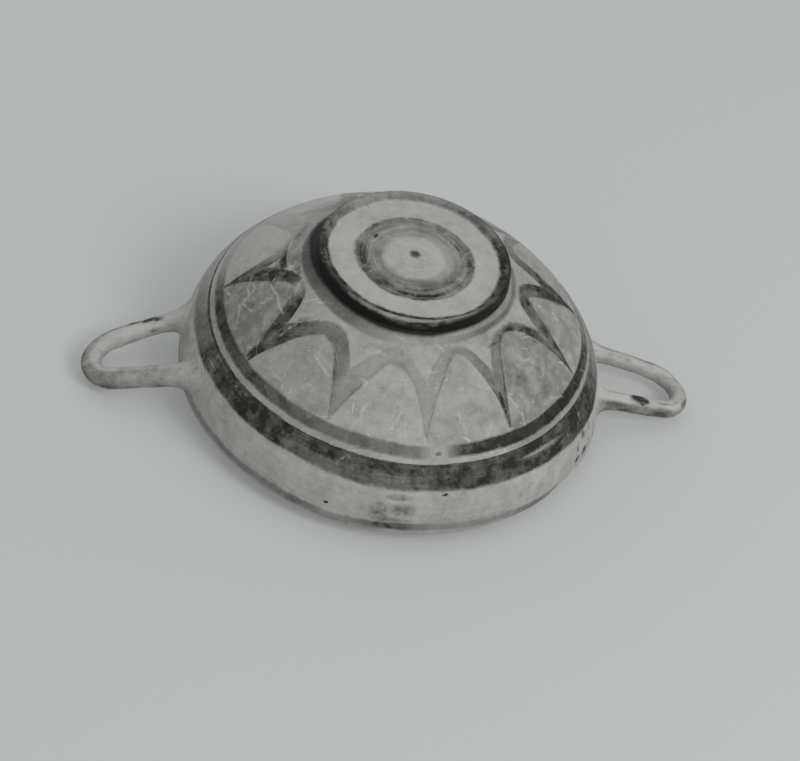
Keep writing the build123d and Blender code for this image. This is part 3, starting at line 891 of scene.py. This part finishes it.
# Knob: a broad disc turned with a raised edge round a hollowed top, stuck on the dome. Its side is black,
# its edge is rubbed pale, with a painted highlight along the front of the crest, and inside it are a bare
# ring, a blotchy grey ring and a dot in the middle.
knob_height, knob_draft, crest_width = 5.2, 0.5, 1.6
hollow_depth, hollow_slope, hollow_crown = 2.6, 2.4, 0.4
knob_top = knob_seat + knob_height
crest_radius = knob_radius - knob_draft
hollow_radius = crest_radius - crest_width - hollow_slope
knob_columns, hollow_rows = 420, 40
ring_centre, grey_inner, grey_outer = (0.2, 0.3), (11.0, 15.0), (24.2, 26.0)
knob_pale, knob_dull = (0.388, 0.384, 0.366, 1), (0.262, 0.258, 0.243, 1)
floor_r = np.linspace(hollow_radius, 0, hollow_rows)
floor_z = knob_top - hollow_depth + hollow_crown * (1 - (floor_r / hollow_radius) ** 2)
knob_path = np.concatenate([
    corner(0, knob_seat, 0.05, 4.0),
    corner(knob_radius - 0.1, knob_seat - 0.05, 0.3, 0.6),
    corner(crest_radius, knob_top, 0.6, 0.3),
    corner(crest_radius - crest_width, knob_top, 0.6, 0.3),
    np.stack([floor_r, floor_z, np.linspace(0.9, 0.05, hollow_rows), np.full(hollow_rows, 0.55)], 1),
])
knob_section = thrown_section(knob_path)[0]
knob, knob_turn, knob_row = spun("clay_lid_knob", knob_section, knob_columns)
knob_x = knob_section[knob_row, 0] * np.cos(np.radians(knob_turn)) - ring_centre[0]
knob_y = knob_section[knob_row, 0] * np.sin(np.radians(knob_turn)) - ring_centre[1]
note(
    knob,
    ring=np.hypot(knob_x, knob_y),
    # The pale crest: worn slip, and along the front a painted highlight where the crest meets the lamp's
    # light.
    worn=round_pot(
        knob_turn, (-180, 0), (-150, 0), (-138, 0.28), (-125, 0.46), (-112, 0.66), (-98, 0.7),
        (-85, 0.58), (-76, 0.6), (-65, 0.66), (-52, 0.2), (-40, 0.05), (0, 0.05), (25, 0.25), (50, 0.25),
        (105, 0.12), (150, 0.05),
    ),
    worn_place=round_pot(
        knob_turn, (-140, -0.2), (-112, 0.2), (-98, 0.1), (-85, -0.9), (-70, -2.1), (-50, -1.6),
        (60, -1.2),
    ),
    rim_start=round_pot(
        knob_turn, (-180, 35.8), (-165, 35.2), (-140, 34.9), (-90, 34.8), (-60, 35.4), (-30, 35.2),
        (30, 35.6), (60, 36), (120, 35.9),
    ),
    black_start=round_pot(
        knob_turn, (-195, 0), (-180, 0.5), (-165, 0.2), (-150, -0.2), (-138, 0.7), (-125, 1.4),
        (-112, 2.5), (-101, 3.4), (-95, 4.2), (-90, 3.6), (-84, 2.4), (-77, 1.3), (-70, 0.1), (-60, -0.4),
        (-45, -0.8), (-20, -1.6), (20, -1.2), (60, -0.4),
    ),
    black_end=round_pot(
        knob_turn, (-100, 9), (-90, 8.6), (-80, 8), (-66, 7.7), (-55, 7.1), (-40, 7.4), (-20, 7.4),
        (60, 7), (110, 9),
    ),
    inner_face=round_pot(
        knob_turn, (-195, 0.98), (-165, 1.04), (-150, 1.12), (-125, 1), (-100, 1.15), (-85, 1),
        (-70, 0.86), (-55, 0.86), (-40, 0.88), (-22, 0.98), (0, 0.95), (30, 0.82), (70, 0.55), (120, 0.5),
        (150, 0.74),
    ),
    # The knob's black side: black slip, given its full depth on the left as painted shade.
    side=round_pot(
        knob_turn, (-205, 0.9), (-185, 0.98), (-170, 1), (-62, 1), (-50, 0.95), (-38, 0.9), (0, 0.88),
        (60, 0.9),
    ),
    grey=round_pot(
        knob_turn, (-180, 0.7), (-120, 0.68), (-92, 0.8), (-60, 0.62), (0, 0.62), (60, 0.64), (90, 0.5),
        (130, 0.62),
    ),
    stain=blots(
        knob_turn, knob_section[knob_row, 0], (140, 19.5, 7, 1.2, 0.95), (-100, 23, 18, 1.8, 0.45),
        (-8, 22.5, 16, 1.6, 0.35), (178, 23.5, 20, 1.2, 0.4), (-118, 24.6, 1.5, 0.5, 1.1),
        (150, 37, 22, 0.8, 0.6), (85, 37, 14, 0.7, 0.5),
    ) * (knob_section[knob_row, 1] > knob_seat + 1),
)

knob_clay, place = open_finish("knob_clay")
ring, height_mm = place.noted("ring"), place.axis("Z")
wobble = (place.cloud(6, 2) - 0.5) * 1.6 + (place.cloud(1.6, 3) - 0.5) * 1.3
radius = ring + wobble
turned = place.stretched(ring, 26, 1.7).cloud(1, 2, 0.5)
grey_shape = radius.ease(*grey_inner) * (1 - radius.ease(*grey_outer))
blotchy = 0.72 + place.cloud(8, 3, 0.55, 0.5).ease(0.35, 0.65) * 0.5
grey_depth = place.noted("grey") * (1.16 - turned.ease(0.36, 0.64) * 0.44)
grey_depth = grey_depth * blotchy * (0.74 + radius.ease(15, 23) * 0.42)
grey_cover = slip_cover(place, grey_shape, grey_depth, 0.45)
rim_start, black_start = place.noted("rim_start"), place.noted("black_start")
black_end = place.noted("black_end")
rim_shape = radius.ease(rim_start - 0.8, rim_start + 0.8)
over_edge = (knob_top - height_mm).most(0.0) * ring.ease(38.6, 39.4) + ring - crest_radius
mottled = 0.80 + place.cloud(5, 3, 0.6, 0.4).ease(0.36, 0.64) * 0.36
# Pale crest: wear, with a painted highlight at the front.
rubbed = 1 - abs(over_edge + wobble * 0.3 - place.noted("worn_place")).ease(0.3, 2.1)
rubbed = rubbed * place.noted("worn") * (0.95 + ragged_noise(place) * 0.3)
rim_depth = place.noted("inner_face") * mottled * (1 - rubbed)
side_fade = 1 - (over_edge + wobble * 0.4).ease(black_end - 1.6, black_end + 1.6)
black_side = (over_edge + wobble * 0.3).ease(black_start - 1.2, black_start + 1.2)
black_side = black_side * side_fade * place.noted("side")
rim_cover = slip_cover(place, rim_shape, rim_depth.most(0.0), 0.35) * (0.35 + side_fade * 0.65)
dot_place = (0.5, 2.7, float(floor_z[-1]))
off_centre = place.node("VectorMath", {"operation": "DISTANCE"}, {0: place, 1: dot_place}, "Value")
dot_cover = (1 - (off_centre + wobble).ease(0.9, 3.3)) * 0.9
centre_wash = (1 - radius.ease(3, 13)) * turned.ease(0.45, 0.65) * 0.16
cover = grey_cover.most(centre_wash).most(rim_cover).most(dot_cover).most(stained(place, 0.4)).least(1.0)
lines = scratches(place)
clay = fired_clay(place, knob_pale, knob_dull)
clay = (lines * 0.4).blend(clay, pale_scratch)
height = place.cloud(0.9, 3, 0.6) * 0.35 + turned * 0.6 - lines * 0.2 + cover * 0.12
colour = (cover * (1 - lines * 0.16)).blend(clay, slip)
# Black side of the knob: slip, deepened on the left by painted shade.
colour = (black_side * 0.98).blend(colour, thick_slip_and_shadow)
close_finish(place, knob, colour, cover, height)
knob.data.materials.append(knob_clay)
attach(knob, "lid")
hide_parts("lid_knob")


# Floor, light and camera: a pale grey paper sheet, a broad soft lamp from the front right, an even grey
# room, and a camera above the front that leans as the picture does.
half_sheet = 4
paper = bpy.data.meshes.new("paper")
sheet_corners = np.array([(-1, -1, 0), (1, -1, 0), (1, 1, 0), (-1, 1, 0)]) * half_sheet
paper.from_pydata(sheet_corners.tolist(), [], [(0, 1, 2, 3)])
floor = bpy.data.objects.new("paper", paper)
bpy.context.scene.collection.objects.link(floor)
floor_finish, place = open_finish("pale_paper")
paper_tone = (0.490, 0.502, 0.501, 1)
paper_glow = 0.3
paper_shader = floor_finish.node_tree.nodes["Principled BSDF"]
paper_shader.inputs["Base Color"].default_value = paper_tone
paper_shader.inputs["Roughness"].default_value = 0.9
paper_shader.inputs["Specular IOR Level"].default_value = 0.1
light_path = floor_finish.node_tree.nodes.new("ShaderNodeLightPath")
rays = "Is Camera Ray", "Is Glossy Ray", "Is Transmission Ray"
seen = [Shade(place.tree, light_path.outputs[ray]) for ray in rays]
glow = place.node("Emission", {}, {"Color": paper_tone, "Strength": 1.0})
lit = Shade(place.tree, paper_shader.outputs[0])
glow_share = seen[0].most(seen[1]).most(seen[2]) * paper_glow
paper_mix = place.node("MixShader", {}, {0: glow_share, 1: lit, 2: glow})
place.tree.links.new(paper_mix.socket, place.tree.nodes["Material Output"].inputs["Surface"])
paper.materials.append(floor_finish)

world = bpy.data.worlds.new("room")
world.use_nodes = True
world.node_tree.nodes["Background"].inputs["Color"].default_value = (0.98, 1.0, 1.0, 1)
world.node_tree.nodes["Background"].inputs["Strength"].default_value = 0.70
bpy.context.scene.world = world

target = np.array([0, 0, 40.05]) * mm
lamp_turn, lamp_height, lamp_distance = math.radians(-50), math.radians(42), 1.7
lamp_level = np.array([math.cos(lamp_turn), math.sin(lamp_turn), 0])
lamp_from = lamp_level * math.cos(lamp_height) + np.array([0, 0, math.sin(lamp_height)])
lamp_data = bpy.data.lights.new("soft_lamp", "AREA")
lamp_data.shape, lamp_data.size, lamp_data.energy = "DISK", 0.75, 11.8
lamp = bpy.data.objects.new("soft_lamp", lamp_data)
bpy.context.scene.collection.objects.link(lamp)


def stand(obj, place, right, up):
    """Stands a lamp or the camera at a place, given its right and up; it looks against right x up."""
    back = np.cross(right, up)
    matrix = np.eye(4)
    matrix[:3, 0], matrix[:3, 1], matrix[:3, 2], matrix[:3, 3] = right, up, back, place
    obj.matrix_world = matrix.T.tolist()


lamp_right = np.array([-math.sin(lamp_turn), math.cos(lamp_turn), 0])
stand(lamp, target + lamp_from * lamp_distance, lamp_right, np.cross(lamp_from, lamp_right))

view_turn, view_height, view_lean = math.radians(14.54), math.radians(42.17), math.radians(13.37)
view_distance, focal_px, above_centre, picture_width = 1.05, 2500.0, 60.2, 800
level = np.array([math.cos(view_turn), -math.sin(view_turn), 0])
forward = np.array([math.sin(view_turn), math.cos(view_turn), 0])
ahead = forward * math.cos(view_height) - np.array([0, 0, math.sin(view_height)])
rise = np.cross(level, ahead)
right = math.cos(view_lean) * level + math.sin(view_lean) * rise
up = math.cos(view_lean) * rise - math.sin(view_lean) * level
tip_down = math.atan(above_centre / focal_px)
camera_data = bpy.data.cameras.new("camera")
camera_data.sensor_width = 36.0
camera_data.lens = camera_data.sensor_width * focal_px / picture_width
camera = bpy.data.objects.new("camera", camera_data)
bpy.context.scene.collection.objects.link(camera)
stand(camera, target - ahead * view_distance, right, math.cos(tip_down) * up + math.sin(tip_down) * ahead)
bpy.context.scene.camera = camera
bpy.context.scene.view_settings.view_transform = "Standard"
